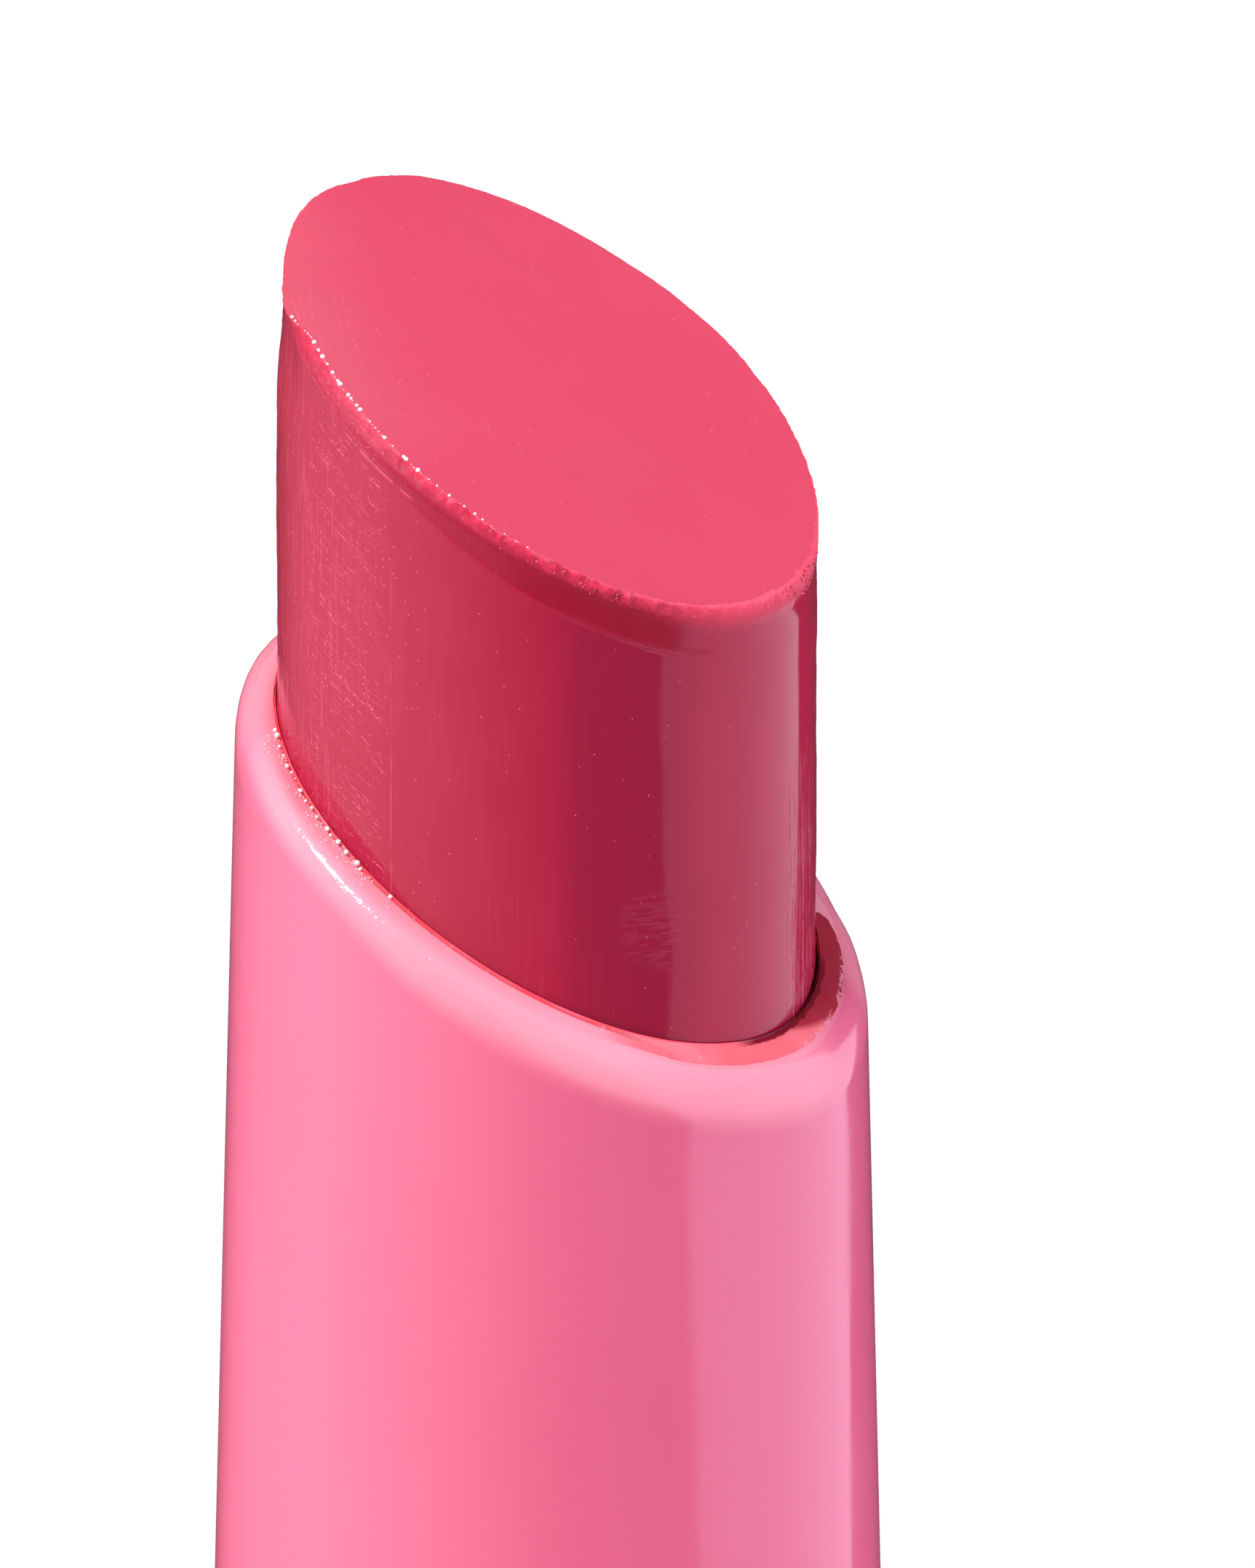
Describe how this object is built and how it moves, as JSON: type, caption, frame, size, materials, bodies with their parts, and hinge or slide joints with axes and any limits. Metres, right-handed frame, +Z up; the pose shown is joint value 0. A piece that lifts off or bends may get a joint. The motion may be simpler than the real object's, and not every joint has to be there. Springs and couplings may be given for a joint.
{
  "type": "lip gloss stick",
  "caption": "Twist-up lip gloss stick: slant-cut coral bullet in a tapered pink nozzle with a slanted mouth, lifted by a spindle in a round barrel.",
  "frame": {"origin": "middle of the stick's foot, on the surface that it stands on", "axes": "+Z up along the stick's axis, +X towards the low side of the slanted cut and mouth"},
  "size_m": [0.0132, 0.0132, 0.0902],
  "materials": {
    "pink_shell": "high gloss, slightly translucent pink moulded plastic",
    "coral_gloss": "satin waxy coral lip gloss, smooth on the cut, lightly scuffed on the side",
    "natural_plastic": "unpigmented slippery moulded plastic",
    "black_rubber": "matt elastomer with a film of grease",
    "plain_steel": "turned steel"
  },
  "bodies": {
    "front": {"nozzle": "pink_shell", "collar": "pink_shell", "guide_sleeve": "natural_plastic", "lower_o_ring": "black_rubber", "upper_o_ring": "black_rubber"},
    "twist_base": {"barrel": "pink_shell", "barrel_liner": "natural_plastic", "spindle": "natural_plastic", "spindle_seat": "natural_plastic", "balance_weight": "plain_steel", "end_plug": "pink_shell"},
    "bullet_lift": {"bullet": "coral_gloss", "bullet_cup": "natural_plastic", "carrier_stem": "natural_plastic", "drive_nut": "natural_plastic"}
  },
  "joints": [
    {"name": "base_twist", "type": "hinge", "parent": "front", "child": "twist_base", "pos_m": [0, 0, 0.03], "axis": [0, 0, 1], "range_deg": [-490, 900]},
    {"name": "bullet_slide", "type": "slide", "parent": "front", "child": "bullet_lift", "axis": [0, 0, 1], "range_m": [-0.0082, 0.01504]}
  ],
  "couplings": [
    {"joint": "bullet_slide", "follows": "base_twist", "m_per_rad": 0.00095493}
  ]
}
